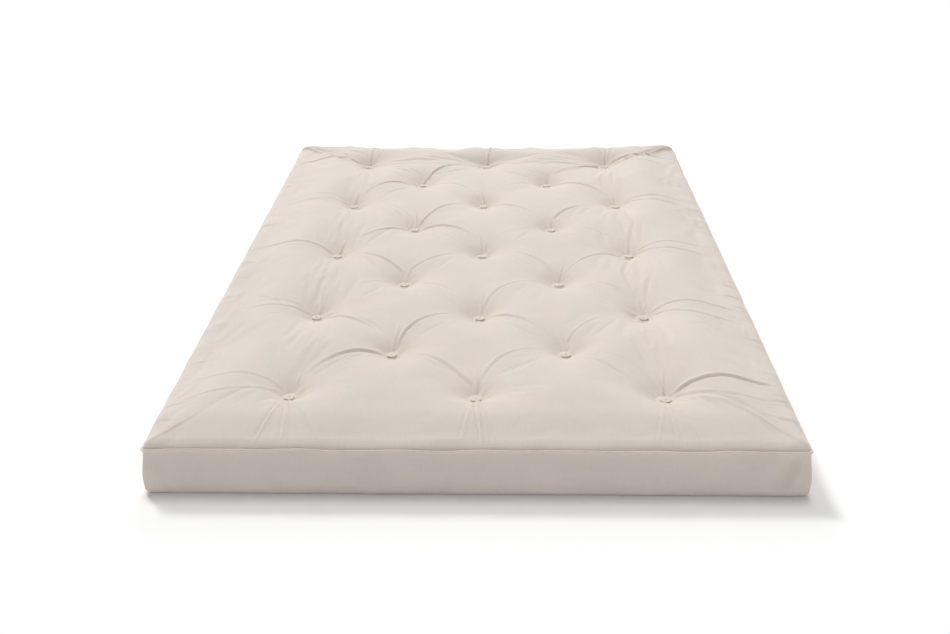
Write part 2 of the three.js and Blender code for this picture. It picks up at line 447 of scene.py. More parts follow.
def add_node(tree, kind, operation=None, **inputs):
    """A node and its input values or links; an input's name has _ for a space."""
    made = tree.nodes.new("ShaderNode" + kind)
    if operation:
        made.operation = operation
    for key, value in inputs.items():
        set_input(tree, made.inputs[key.replace("_", " ")], value)
    return made


def set_input(tree, socket, value):
    if isinstance(value, bpy.types.NodeSocket):
        tree.links.new(value, socket)
    else:
        socket.default_value = value


def maths(tree, operation, first, second=0.0):
    made = add_node(tree, "Math", operation)
    set_input(tree, made.inputs[0], first)
    set_input(tree, made.inputs[1], second)
    return made.outputs[0]


def noise(tree, place, scale, detail, rough):
    inputs = {"Vector": place, "Scale": scale, "Detail": detail, "Roughness": rough}
    return add_node(tree, "TexNoise", **inputs).outputs["Fac"]


def stretched(tree, place, scale):
    return add_node(tree, "Mapping", Vector=place, Scale=scale).outputs["Vector"]


def between(tree, value, low, high, start, stop):
    """A value that goes from low to high as another goes from start to stop."""
    limits = {"From_Min": start, "From_Max": stop, "To_Min": low, "To_Max": high}
    return add_node(tree, "MapRange", Value=value, **limits).outputs["Result"]


def dressed(kind, base, roughness, tones, bumps):
    """Finish a material: tones vary its colour, one noise its roughness, and bumps its normal.

    kind is what material() returned. roughness is (value, low, high). A tone is (value, low, high,
    start, stop): a factor on the base colour that goes from low to high as the value goes from
    start to stop. A bump is (height, distance in metres, strength).
    """
    made, tree, shader = kind
    total = 1.0
    for tone in tones:
        total = maths(tree, "MULTIPLY", total, between(tree, *tone))
    mixed = add_node(tree, "VectorMath", "SCALE", Vector=base, Scale=total)
    tree.links.new(mixed.outputs["Vector"], shader.inputs["Base Color"])
    tree.links.new(between(tree, *roughness, 0.3, 0.7), shader.inputs["Roughness"])
    normal = None
    for height, distance, strength in bumps:
        bump = add_node(tree, "Bump", Height=height, Distance=distance, Strength=strength)
        if normal is not None:
            tree.links.new(normal, bump.inputs["Normal"])
        normal = bump.outputs["Normal"]
    tree.links.new(normal, shader.inputs["Normal"])
    return made


def canvas_material(name, base):
    """Unbleached plain-weave canvas: over-and-under yarns, slubs, seed flecks, handling marks."""
    kind = material(name, base, 0.9, sheen=0.15)
    tree = kind[1]
    coords = add_node(tree, "TexCoord")
    flat, solid = coords.outputs["UV"], coords.outputs["Object"]
    parts = add_node(tree, "SeparateXYZ", Vector=flat)
    pitch = math.pi / YARN
    warp = maths(tree, "SINE", maths(tree, "MULTIPLY", parts.outputs["X"], pitch))
    weft = maths(tree, "SINE", maths(tree, "MULTIPLY", parts.outputs["Y"], pitch))
    weave = maths(tree, "MULTIPLY", warp, weft)
    slub_long = noise(tree, stretched(tree, flat, (28.0, 620.0, 1.0)), 1.0, 3.0, 0.6)
    slub_cross = noise(tree, stretched(tree, flat, (620.0, 28.0, 1.0)), 1.0, 3.0, 0.6)
    slubs = maths(tree, "ADD", slub_long, slub_cross)
    mottle = noise(tree, solid, 9.0, 4.0, 0.55)
    marks = noise(tree, solid, 2.3, 2.0, 0.5)
    grain = noise(tree, flat, 420.0, 2.0, 0.7)
    seeds = add_node(tree, "TexVoronoi", Vector=flat, Scale=46.0)
    kept = add_node(tree, "SeparateColor", Color=seeds.outputs["Color"])
    spot = maths(tree, "LESS_THAN", seeds.outputs["Distance"], 0.034)
    chosen = maths(tree, "GREATER_THAN", kept.outputs["Red"], 0.62)
    fleck = maths(tree, "MULTIPLY", spot, chosen)
    tones = [
        (weave, 0.975, 1.025, -1.0, 1.0),
        (slubs, 0.950, 1.050, 0.6, 1.4),
        (mottle, 0.978, 1.022, 0.3, 0.7),
        (marks, 0.985, 1.015, 0.3, 0.7),
        (grain, 0.965, 1.035, 0.25, 0.75),
        (fleck, 1.0, 0.70, 0.0, 1.0),
    ]
    bumps = [(weave, 0.00012, 0.55), (slubs, 0.00030, 0.45), (mottle, 0.0015, 0.25)]
    return dressed(kind, base, (mottle, 0.82, 0.96), tones, bumps)


def felt_material():
    base = (0.715, 0.645, 0.58)
    kind = material("felt", base, 0.95, sheen=0.3)
    tree = kind[1]
    solid = add_node(tree, "TexCoord").outputs["Object"]
    fibre = noise(tree, solid, 900.0, 6.0, 0.7)
    matted = noise(tree, solid, 160.0, 4.0, 0.6)
    tones = [(fibre, 0.90, 1.08, 0.25, 0.75), (matted, 0.95, 1.05, 0.3, 0.7)]
    bumps = [(matted, 0.0012, 0.5), (fibre, 0.0004, 0.6)]
    return dressed(kind, base, (matted, 0.88, 1.0), tones, bumps)


def twine_material():
    base = (0.78, 0.71, 0.63)
    kind = material("twine", base, 0.75, sheen=0.1)
    tree = kind[1]
    coords = add_node(tree, "TexCoord")
    along = stretched(tree, coords.outputs["UV"], (2600.0, 260.0, 1.0))
    fibre = noise(tree, along, 1.0, 3.0, 0.6)
    worn = noise(tree, coords.outputs["Object"], 240.0, 2.0, 0.5)
    tones = [(fibre, 0.86, 1.10, 0.25, 0.75), (worn, 0.94, 1.05, 0.3, 0.7)]
    return dressed(kind, base, (worn, 0.65, 0.85), tones, [(fibre, 0.0002, 0.7)])


def batting_material():
    base = (0.80, 0.76, 0.66)
    kind = material("batting", base, 1.0, sheen=0.4)
    tree = kind[1]
    solid = add_node(tree, "TexCoord").outputs["Object"]
    tufted = noise(tree, solid, 55.0, 6.0, 0.65)
    fibre = noise(tree, stretched(tree, solid, (1.0, 0.35, 1.0)), 600.0, 5.0, 0.7)
    tones = [(tufted, 0.93, 1.06, 0.3, 0.7), (fibre, 0.90, 1.08, 0.25, 0.75)]
    bumps = [(tufted, 0.006, 0.6), (fibre, 0.0008, 0.7)]
    return dressed(kind, base, (tufted, 0.92, 1.0), tones, bumps)


def foam_material():
    base = (0.80, 0.72, 0.45)
    kind = material("foam", base, 0.95)
    tree = kind[1]
    solid = add_node(tree, "TexCoord").outputs["Object"]
    cells = add_node(tree, "TexVoronoi", Vector=solid, Scale=900.0).outputs["Distance"]
    aged = noise(tree, solid, 14.0, 4.0, 0.5)
    tones = [(cells, 0.82, 1.06, 0.0, 0.8), (aged, 0.94, 1.05, 0.3, 0.7)]
    return dressed(kind, base, (aged, 0.9, 1.0), tones, [(cells, 0.0009, 0.8)])


def floor_material():
    made, tree, shader = material("floor_paint", (0.97, 0.97, 0.97), 0.9)
    solid = add_node(tree, "TexCoord").outputs["Object"]
    faint = noise(tree, solid, 0.8, 2.0, 0.5)
    tree.links.new(between(tree, faint, 0.86, 0.94, 0.3, 0.7), shader.inputs["Roughness"])
    return made


# ---- camera and light
def add_camera():
    """The photo's camera, found from the seam corners, the bottom edge and the ties."""
    data = bpy.data.cameras.new("camera")
    data.sensor_width = 36
    data.lens = LENS
    heading, pitch, roll = (math.radians(a) for a in CAMERA_TURNS)
    ahead = Vector((-math.sin(heading), math.cos(heading), 0))
    right = Vector((math.cos(heading), math.sin(heading), 0))
    upward = Vector((0, 0, 1))
    forward = ahead * math.cos(pitch) - upward * math.sin(pitch)
    top = ahead * math.sin(pitch) + upward * math.cos(pitch)
    side = right * math.cos(roll) + top * math.sin(roll)
    top = top * math.cos(roll) - right * math.sin(roll)
    camera = bpy.data.objects.new("camera", data)
    bpy.context.scene.collection.objects.link(camera)
    place = Matrix((side, top, -forward)).transposed().to_4x4()
    place.translation = Vector(CAMERA_PLACE)
    camera.matrix_world = place
    bpy.context.scene.camera = camera


def add_light(kind, name, toward, energy):
    """A light that shines down from the direction toward."""
    data = bpy.data.lights.new(name, kind)
    data.energy = energy
    light = bpy.data.objects.new(name, data)
    bpy.context.scene.collection.objects.link(light)
    light.rotation_euler = Vector(toward).to_track_quat("Z", "Y").to_euler()
    return light


def add_softbox(name, toward, spread, strength):
    """Even light from one direction, as wide in degrees as a softbox seen from the mattress."""
    light = add_light("SUN", name, toward, math.pi * strength)
    light.data.angle = math.radians(spread)


def add_back_light():
    """A small softbox low behind the far end, which is a little brighter than the near one."""
    light = add_light("AREA", "back_light", (-0.5, 2.2, 3.0), 30)
    light.data.size = 2.0
    light.location = (-0.5, 3.2, 3.0)
    light.visible_camera = False


def add_surroundings():
    """Pale studio walls all round, and a dimmer ceiling."""
    world = bpy.data.worlds.new("studio")
    bpy.context.scene.world = world
    world.use_nodes = True
    tree = world.node_tree
    way = add_node(tree, "TexCoord").outputs["Generated"]
    height = add_node(tree, "SeparateXYZ", Vector=way).outputs["Z"]
    glow = between(tree, height, 1.0, 0.36, 0.15, 0.40)
    tree.links.new(glow, tree.nodes["Background"].inputs["Strength"])
    tree.nodes["Background"].inputs["Color"].default_value = (1, 1, 1, 1)


def add_studio():
    bpy.context.scene.view_settings.view_transform = "Standard"
    add_surroundings()
    add_softbox("overhead", (0.3, 2.6, 9.6), 20, 0.28)
    add_softbox("far_window", (-2.9, 4.4, 6.2), 13, 0.42)
    add_back_light()
    corners = ((-1, -1), (1, -1), (1, 1), (-1, 1))
    points = [(x * FLOOR_REACH, y * FLOOR_REACH, FLOOR_LEVEL) for x, y in corners]
    floor = add_mesh("floor", points, [(0, 1, 2, 3)])
    floor.data.materials.append(floor_material())


# ---- quilted panel
def start_shape(x, y, rng):
    """The panel before it is inflated: a soft slab with a rolled rim and a dent at each tie."""
    edge_x = np.clip(from_sides(x) / ROLL_SIDE, 0, 1)
    edge_y = np.clip(from_ends(y) / np.where(y < 0, ROLL_NEAR, ROLL_FAR), 0, 1)
    roll_x = np.maximum(1 - (1 - edge_x) ** 2, 1e-6)
    roll_y = np.maximum(1 - (1 - edge_y) ** 2, 1e-6)
    roll = (roll_x ** -4 + roll_y ** -4) ** -0.25
    gap, drawn = from_ties(x, y)
    depth = 0.026 - drawn
    loose = np.clip(from_edge(x, y) / 0.05, 0, 1) * np.clip(gap / 0.05, 0, 1)
    z = SEAM + 0.042 * roll
    z += 0.0008 * ripples(rng, x, y, 24, 0.06, 0.3) * loose
    z -= depth * np.exp(-((gap / 0.05) ** 2))
    held = gap < 0.011
    z[held] = (0.150 - depth)[held]
    return z, held


def weighted_group(piece, name, weights):
    """A vertex group of these weights, in steps of a twentieth."""
    group = piece.vertex_groups.new(name=name)
    levels = np.round(weights.ravel() * 20) / 20
    for level in np.unique(levels):
        members = np.nonzero(levels == level)[0].tolist()
        group.add(members, float(level), "REPLACE")


CLOTH_RULES = {
    "quality": 5, "mass": 0.3, "air_damping": 1, "bending_stiffness": 0.3,
    "tension_stiffness": 15, "compression_stiffness": 15, "shear_stiffness": 5,
    "tension_damping": 5, "compression_damping": 5, "shear_damping": 5,
    "use_pressure": True, "uniform_pressure_force": 4, "vertex_group_pressure": "pressed",
    "vertex_group_mass": "held", "vertex_group_shrink": "spare",
    "shrink_min": 0.0, "shrink_max": -0.020,  # below 0, the cloth grows
}


def inflate(x, y, z, held):
    """Blow the panel up with cloth simulation, held at its rim and its ties."""
    sheet = add_mesh("inflating", as_points(x, y, z), grid_faces(*steps(x)))
    edge = from_edge(x, y)
    weighted_group(sheet, "held", (held | (edge < 1e-6)).astype(float))
    weighted_group(sheet, "pressed", 0.3 + 0.7 * smooth(edge / 0.12))
    weighted_group(sheet, "spare", 0.25 + 0.75 * smooth(from_ends(y) / 0.20))
    cloth = sheet.modifiers.new("Cloth", "CLOTH")
    cloth.collision_settings.use_collision = False
    cloth.collision_settings.use_self_collision = False
    cloth.point_cache.frame_end = SIM_FRAMES
    for rule, value in CLOTH_RULES.items():
        setattr(cloth.settings, rule, value)
    cloth.settings.effector_weights.gravity = 0
    scene = bpy.context.scene
    scene.frame_start = 1
    scene.frame_end = SIM_FRAMES
    for number in range(1, SIM_FRAMES + 1):
        scene.frame_set(number)
    shown = sheet.evaluated_get(bpy.context.evaluated_depsgraph_get())
    out = np.empty(x.size * 3, np.float32)
    shown.data.vertices.foreach_get("co", out)
    mesh = sheet.data
    bpy.data.objects.remove(sheet)
    bpy.data.meshes.remove(mesh)
    scene.frame_set(1)
    return out.reshape(x.shape + (3,)).astype(float)


def fold(height, x, y, path, depth, width, flip=1, ends=(0.12, 0.5)):
    """Press a sharp fold along path: a narrow groove with a raised lip beside it.

    A negative depth makes a thin ridge. flip = -1 puts the lip on the path's other side. ends are
    the shares of the path over which the fold grows and dies away.
    """
    path = np.asarray(path, float)
    reach = 5 * width
    near = (x > path[:, 0].min() - reach) & (x < path[:, 0].max() + reach)
    near &= (y > path[:, 1].min() - reach) & (y < path[:, 1].max() + reach)
    px, py = x[near], y[near]
    best = np.full(px.shape, np.inf)
    offset = np.zeros(px.shape)
    share = np.zeros(px.shape)
    for k, (a, b) in enumerate(zip(path[:-1], path[1:])):
        d = b - a
        t = np.clip(((px - a[0]) * d[0] + (py - a[1]) * d[1]) / (d @ d), 0, 1)
        gap_x = px - a[0] - t * d[0]
        gap_y = py - a[1] - t * d[1]
        gap = np.hypot(gap_x, gap_y)
        closer = gap < best
        best[closer] = gap[closer]
        offset[closer] = (gap * np.sign(d[0] * gap_y - d[1] * gap_x))[closer]
        share[closer] = ((k + t) / (len(path) - 1))[closer]
    fade = smooth(share / ends[0]) * smooth((1 - share) / ends[1])
    offset = offset * flip
    groove = np.exp(-((offset / width) ** 2))
    lip = np.exp(-(((offset - 1.9 * width) / (1.2 * width)) ** 2))
    height[near] += depth * fade * (FOLD_LIP * lip - groove)


def curve_between(start, bend, end, count=9):
    """Points on a quadratic curve."""
    t = np.linspace(0, 1, count)[:, None]
    start, bend, end = (np.asarray(p, float) for p in (start, bend, end))
    return start * (1 - t) ** 2 + bend * 2 * t * (1 - t) + end * t * t


def add_arcs(z, x, y, rng):
    """Arched folds that leave a tie sideways and run down to the tie in front of it."""
    for _, tx, ty, _ in TIES:
        for _, ox, oy, _ in TIES:
            if not (0.15 < abs(ox - tx) < 0.27 and 0.15 < ty - oy < 0.25):
                continue
            side = math.copysign(1, ox - tx)
            strength = rng.uniform(0.15, 1.0)
            start = (tx + 0.015 * side, ty + rng.uniform(-0.006, 0.003))
            bend = (ox - rng.uniform(0.03, 0.11) * side, ty - rng.uniform(0.005, 0.06))
            end = (ox - rng.uniform(0.006, 0.016) * side, oy + rng.uniform(0.016, 0.06))
            path = curve_between(start, bend, end)
            ends = (rng.uniform(0.05, 0.3), rng.uniform(0.3, 0.9))
            if rng.uniform() < 0.4:
                path, ends, side = path[::-1], (0.08, rng.uniform(0.6, 0.9)), -side
            depth = ARC_DEPTH * strength
            fold(z, x, y, path, depth, rng.uniform(0.0028, 0.0042), side, ends)


def add_side_draws(z, x, y, rng):
    """Arched folds from the outer ties to the side seams, and short wrinkles along those seams."""
    for _, tx, ty, _ in TIES:
        if abs(tx) < 0.3:
            continue
        side = math.copysign(1, tx)
        room = HALF_X - abs(tx)
        for lift, power in ((rng.uniform(0.02, 0.06), 1.0), (rng.uniform(-0.05, 0.0), 0.6)):
            start = (tx + 0.016 * side, ty + 0.010)
            bend = (tx + side * room * rng.uniform(0.25, 0.45), ty + lift + 0.025)
            end = (side * (HALF_X - 0.006), ty + lift + rng.uniform(-0.03, 0.01))
            depth = DRAW_DEPTH * (1 + 0.2 * side) * power * rng.uniform(0.3, 1.0)
            ends = (0.12, rng.uniform(0.12, 0.5))
            fold(z, x, y, curve_between(start, bend, end), depth, DRAW_WIDTH, side, ends)
    for side in (-1, 1):
        for place in np.arange(-0.92, 0.93, 0.062):
            middle = place + rng.uniform(-0.024, 0.024)
            reach = rng.uniform(0.03, 0.12)
            tilt = rng.uniform(-0.03, 0.03)
            start = (side * (HALF_X - 0.004), middle)
            bend = (side * (HALF_X - reach * 0.5), middle + tilt * 0.3 + 0.006)
            end = (side * (HALF_X - reach), middle + tilt)
            depth = WRINKLE_DEPTH * rng.uniform(0.2, 1.0)
            path = curve_between(start, bend, end)
            width, flip = rng.uniform(0.0034, 0.0055), rng.choice([-1, 1])
            fold(z, x, y, path, depth, width, flip, (0.05, 0.8))


def add_ridges(z, x, y, rng):
    """Thin creases that run lengthwise from each tie, away from the near end."""
    for _, tx, ty, _ in TIES:
        for _ in range(2):
            lean = rng.uniform(-0.028, 0.028)
            reach = rng.uniform(0.06, 0.16)
            start = (tx + rng.uniform(-0.005, 0.005), ty + 0.016)
            bend = (tx + lean * 0.25, ty + reach * 0.5)
            path = curve_between(start, bend, (tx + lean, ty + reach))
            rise = rng.uniform(0.0010, 0.0028)
            fold(z, x, y, path, -rise, CREASE_WIDTH, -1, (0.1, 0.8))


def add_end_fans(z, x, y, rng):
    """Fans of fine raised draws from the end rows of ties to the end seams.

    Each draw is how far it spreads sideways and how strong it is. The right-hand ties have fewer,
    and a soft crease to the corner.
    """
    for _, tx, ty, _ in TIES:
        run = from_ends(ty)
        if run > 0.25:
            continue
        way = math.copysign(1, ty)
        fan = ((-0.046, 0.7), (0.012, 1.0), (0.026, 0.6), (0.054, 0.3), (0.096, 0.4))
        if tx > 0.2:
            fan = ((-0.035, 0.3), (0.012, 0.4), (0.060, 0.3))
            start = (tx + 0.018, ty + way * 0.004)
            path = curve_between(start, (tx + 0.16, ty), (tx + 0.255, ty + way * (run - 0.015)))
            fold(z, x, y, path, 0.0026, 0.0060, way, (0.10, 0.30))
        elif tx > -0.2:
            fan = ((-0.030, 0.4), (0.022, 1.1), (0.046, 0.5))
        for spread, power in fan:
            spread = spread + rng.uniform(-0.004, 0.004)
            start = (tx + spread * 0.09, ty + way * 0.015)
            bend = (tx + spread * 0.35, ty + way * run * 0.45)
            end = (tx + spread, ty + way * (run - 0.003))
            path = curve_between(start, bend, end)
            rise = FAN_RISE * power * rng.uniform(0.85, 1.1)
            fold(z, x, y, path, -rise, FAN_WIDTH, -1, (0.06, 0.16))


def add_gathers(z, x, y, rng):
    """Small puckers where the panel is eased into its seam."""
    ends = ((x, HALF_Y + y), (x, HALF_Y - y))
    sides = ((y, HALF_X + x), (y, HALF_X - x))
    for along, gap in ends + sides:
        row = ripples(rng, along, 0 * along, 9, 0.018, 0.060)
        strong = 0.5 + 0.5 * ripples(rng, along, 0 * along, 5, 0.15, 0.5)
        shape = np.exp(-gap / 0.013) * smooth(gap / 0.004)
        z += PUCKER * row * np.clip(strong, 0.1, 1.5) * shape


def press(x, y, z):
    """Bring the inflated panel down to the mattress's thickness and keep its folds.

    Beside the near edge, where the photo shows the panel smooth, most of them are blurred away.
    """
    edge = from_edge(x, y)
    base = SEAM + 0.016 * smooth(edge / 0.10)
    above = z - base
    near = smooth((0.20 - HALF_Y - y) / 0.08)
    fine, coarse = blur(above, 0.03 / PRESS_STEP), blur(above, 0.05 / PRESS_STEP)
    broad = fine * (1 - near) + coarse * near
    crown = np.percentile(above[edge > 0.15], 97)
    share = (CROWN - SEAT) / crown
    out = base + broad * share + (above - broad) * (1.05 - 0.80 * near)
    return out + 0.4 * (out - blur(out, 0.007 / PRESS_STEP))


def edge_puff(x, y):
    """Fullness just inside the seams, where the filling pushes the panel up steeply."""
    sides = (
        (HALF_Y + y, PUFF_NEAR, 0.05),
        (HALF_Y - y, PUFF_FAR, 0.08),
        (from_sides(x), PUFF_SIDE, 0.05),
    )
    rise = 1.0
    height = np.zeros_like(x)
    for gap, size, breadth in sides:
        t = np.clip(gap / 0.018, 0, 1)
        rise = rise * np.sqrt(1 - (1 - t) ** 2)
        height = np.maximum(height, size * np.exp(-((gap / breadth) ** 2)))
    uneven = 1 + 0.13 * ripples(draws(21), x, y, 14, 0.07, 0.3)
    return rise * height * uneven


def fill_far_corners(x, y, z):
    """Round the far edge and its corners out where the pressed panel leaves them hollow."""
    gap_x, gap_y = from_sides(x), from_ends(y)
    round_x = np.sqrt(1 - (1 - np.clip(gap_x / 0.05, 0, 1)) ** 2)
    round_y = np.sqrt(1 - (1 - np.clip(gap_y / 0.035, 0, 1)) ** 2)
    near_corner = 1 - smooth((np.hypot(gap_x, gap_y) - 0.07) / 0.16)
    full = SEAM - 0.004 + 0.039 * round_x * round_y * near_corner
    lack = full - z
    return z + 0.5 * (lack + np.sqrt(lack * lack + 0.004 ** 2)) * smooth((y - 0.6) / 0.25)


def side_push(gap, most):
    """How far the panel swells out over its seam, at a distance from that seam."""
    return most * smooth(gap / 0.003) * np.exp(-((gap / 0.016) ** 2))


def make_quilt():
    """x, y, z of the finished upper panel, its flat coordinates, and z on evenly spaced lines."""
    rng = draws(1)
    x0, y0 = plan(SIM_COLUMNS, SIM_ROWS)
    z0, held = start_shape(x0, y0, rng)
    grown = inflate(x0, y0, z0, held)
    moved = grown - np.stack([x0, y0, np.zeros_like(x0)], -1)
    columns = round(2 * HALF_X / PRESS_STEP)
    rows = round(2 * HALF_Y / PRESS_STEP)
    moved = resized(moved, columns, rows)
    moved[..., 2] = press(*plan(columns, rows), moved[..., 2])
    across, along = panel_lines(HALF_X), panel_lines(HALF_Y)
    moved = resample(moved, across / (2 * HALF_X) + 0.5, 0)
    moved = resample(moved, along / (2 * HALF_Y) + 0.5, 1)
    x, y = np.meshgrid(across, along, indexing="ij")
    edge = from_edge(x, y)
    z = moved[..., 2].copy()
    add_arcs(z, x, y, rng)
    add_ridges(z, x, y, rng)
    add_end_fans(z, x, y, rng)
    add_side_draws(z, x, y, rng)
    gap, drawn = from_ties(x, y)
    seat = SEAT + 0.5 * drawn
    z += (seat - z) * smooth((0.0195 - gap) / 0.0055)
    z = np.minimum(z, CROWN + 0.004)
    fade = smooth(edge / 0.02) ** 0.5
    corner = np.hypot(from_sides(x), from_ends(y))
    sunk = 1 - 0.8 * np.exp(-((corner / 0.025) ** 2))
    z = SEAM + (z - SEAM) * fade - GROOVE_DEPTH * sunk * np.exp(-((edge / 0.0035) ** 2))
    z += edge_puff(x, y)
    z = fill_far_corners(x, y, z)
    add_gathers(z, x, y, rng)
    z += seam_wave(x, y) * np.exp(-edge / 0.03)
    narrow = 1 - GROOVE * sunk / HALF_X
    short = 1 - GROOVE * sunk / HALF_Y
    px = np.clip(x + moved[..., 0], -HALF_X, HALF_X) * narrow
    py = np.clip(y + moved[..., 1], -HALF_Y, HALF_Y) * short
    px += np.sign(x) * side_push(from_sides(x), SWELL_SIDE) * smooth(from_ends(y) / 0.02)
    py += side_push(HALF_Y - y, SWELL_FAR) * smooth(from_sides(x) / 0.02)
    return px, py, z, np.stack([x, y], -1), without_beside(z)


def finish_piece(piece, finish, nodes):
    piece.data.materials.append(finish)
    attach(piece, "root")
    if nodes:
        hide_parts(*nodes)


def add_top_panel(quilt, finish):
    px, py, z, flat, _ = quilt
    faces, rim = grid_faces(*steps(px)), rim_of(*steps(px))
    turns = [(0.0006, -0.0030), (0.0010, -0.0090)]
    points = as_points(px, py, z)
    points, uv, faces = add_hem(points, flat.reshape(-1, 2), faces, rim, turns, True)
    piece = add_mesh("top_cover", points, faces, uv)
    finish_piece(piece, finish, ["top_panel"])


def add_bottom_panel(quilt, finish):
    """The underside: flat on the floor, drawn up at each tie, with creases of its own."""
    columns, rows = 140, 200
    x, y = plan(columns, rows)
    height = resized(quilt[4][::-1, ::-1], columns, rows)
    detail = height - blur(height, 3.0)
    gap, _ = from_ties(x, y)
    edge = from_edge(x, y)
    z = 0.0165 * np.exp(-((gap / 0.045) ** 1.5)) + 0.8 * np.clip(detail, 0, 0.003)
    z = np.maximum(z - 0.0012, 0)
    drawn = smooth((0.022 - gap) / 0.008)
    z += (UNDER_SEAT + PAD_THICKNESS + 0.0003 - z) * drawn
    z *= smooth(edge / 0.04)
    z += SEAM_LIP_BELOW * (1 - smooth(edge / 0.012))
    wide, long = HALF_X - UNDER_INSET, HALF_Y - UNDER_INSET
    px, py = square_to_round(x * wide / HALF_X, y * long / HALF_Y, wide, long, 0.0120)
    uv = np.stack([x, y], -1).reshape(-1, 2)
    faces, rim = grid_faces(columns, rows, upward=False), rim_of(columns, rows)
    turns = [(0.0006, 0.0028), (0.0010, 0.0080)]
    points, uv, faces = add_hem(as_points(px, py, z), uv, faces, rim, turns, False)
    piece = add_mesh("bottom_cover", points, faces, uv)
    finish_piece(piece, finish, ["bottom_panel"])


# ---- border
def border_rows():
    """Outward offset and height of each row of a border strip, from the bottom seam up."""
    low = [
        (-0.0060, 0.0080), (-0.0042, 0.0040), (-0.0022, 0.0014), (0.0002, 0.0006),
        (0.0022, 0.0012), (0.0034, 0.0026), (0.0032, 0.0038), (0.0034, 0.0048),
    ]
    heights = np.linspace(0.0066, SEAM - 0.0060, 18)
    full = BORDER_BULGE * smooth((SEAM - heights) / 0.075)
    under = np.clip(1 - heights / BORDER_ROUNDING, 0, 1)
    body = list(zip(full - BORDER_ROUNDING * (1 - np.sqrt(1 - under ** 2)), heights))
    high = [
        (0.0004, SEAM - 0.0038), (0.0015, SEAM - 0.0020), (0.0021, SEAM - 0.0003),
        (0.0018, SEAM + 0.0012), (0.0004, SEAM + 0.0020), (-0.0013, SEAM + 0.0018),
        (-0.0025, SEAM + 0.0003), (-0.0031, SEAM - 0.0022), (-0.0034, SEAM - 0.0080),
    ]
    return np.array(low + body + high)


def corner_radius(height):
    """A corner is a little rounder towards the floor."""
    return 0.0062 + 0.0035 * np.clip(1 - height / SEAM, 0, 1)


def border_dents(s, run, height, rng, deep):
    """Soft slack folds near both ends of a strip, s metres along it."""
    out = np.zeros(np.broadcast(s, height).shape)
    below_seam = smooth((SEAM - height) / 0.03)
    for end, strength in ((0.0, deep[0]), (run, deep[1])):
        inward = np.abs(s - end)
        place = 0.030 + 0.42 * (SEAM - height) * rng.uniform(0.6, 1.1)
        dip = np.exp(-(((inward - place) / 0.014) ** 2)) * smooth(height / 0.05)
        ridge = np.exp(-(((inward - place + 0.022) / 0.012) ** 2)) * smooth(height / 0.03)
        out += strength * below_seam * (DENT_RIDGE * ridge - DENT_DEPTH * dip)
    return out


def add_border(name, node, turn, run, depth, deep, seed, finish):
    """One border strip, run long and half of depth from the middle.

    It lies on the side that faces away by turn from the near end. deep is how strong the slack
    folds near its two ends are.
    """
    rng = draws(seed)
    profile = border_rows()
    offset, height = profile[:, 0][None, :], profile[:, 1][None, :]
    radius = corner_radius(height)
    reach = run / 2
    count = round(run / BORDER_STEP)
    turns = np.linspace(math.pi / 4, 0, CORNER_ARCS + 1)[:-1]
    angle = np.concatenate([-turns, np.zeros(count + 1), turns[::-1]])[:, None]
    arc = np.ones(CORNER_ARCS)
    share = np.concatenate([-arc, np.linspace(-1, 1, count + 1), arc])[:, None]
    along = share * (reach + offset - radius) + radius * np.sin(angle)
    outward = depth / 2 + offset - radius * (1 - np.cos(angle))
    s = along + reach
    rise = np.clip(height / SEAM, 0, 1)
    body = smooth(height / 0.012) * smooth((SEAM - height) / 0.008)
    bulge = 0.0010 * np.sin(math.pi * rise) * body
    sway = 0.0011 * ripples(rng, s, 0.6 * height, 12, 0.09, 0.5) * body
    drawn = 0.00045 * ripples(rng, s, 0.15 * height, 12, 0.016, 0.05)
    grip = np.exp(-(SEAM - height) / 0.010) + 0.7 * np.exp(-height / 0.010)
    drawn = drawn * grip * smooth((SEAM - height) / 0.003 + 0.25)
    creases = 0.0005 * np.clip(ripples(rng, s + 0.5 * height, height, 10, 0.03, 0.12), 0, 3) * body
    to_corner = np.minimum(s, run - s)
    own = sway + drawn - creases + border_dents(s, run, height, rng, deep)
    push = bulge + own * smooth((to_corner - 0.006) / 0.022)
    ear = np.exp(-((to_corner / 0.014) ** 2)) * np.exp(-np.abs(SEAM + 0.001 - height) / 0.010)
    push += 0.0018 * ear * (height > 0.05)
    tuck = np.exp(-np.abs(np.abs(angle) - math.pi / 4) / 0.10)
    push -= 0.0009 * tuck
    along = along + push * np.sin(angle)
    outward = outward + push * np.cos(angle)
    x = along * math.cos(turn) + outward * math.sin(turn)
    y = along * math.sin(turn) - outward * math.cos(turn)
    z = height + 0.0012 * ear + seam_wave(x, y) * smooth((height - 0.05) / (SEAM - 0.05))
    cut = run_along(profile)
    uv = np.stack([along, np.broadcast_to(cut, along.shape)], -1).reshape(-1, 2)
    piece = add_mesh(name, as_points(x, y, z), grid_faces(*steps(x)), uv)
    finish_piece(piece, finish, [node])


def add_borders(finish):
    width, length = 2 * HALF_X, 2 * HALF_Y
    add_border("border_near", "border_front", 0.0, width, length, (0.35, 1.9), 31, finish)
    add_border("border_east", "border_right", math.pi / 2, length, width, (0.7, 0.5), 32, finish)
    add_border("border_far", "border_back", math.pi, width, length, (0.6, 0.4), 33, finish)
    add_border("border_west", "border_left", -math.pi / 2, length, width, (0.5, 0.6), 34, finish)


# ---- filling
def filling_plan(inset, radius):
    """x and y of a layer's grid, and each point's distance from the layer's edge."""
    wide, long = HALF_X - inset, HALF_Y - inset
    x, y = plan(100, 144)
    x = x * wide / HALF_X
    y = y * long / HALF_Y
    edge = np.minimum(wide - np.abs(x), long - np.abs(y))
    return *square_to_round(x, y, wide, long, radius), edge


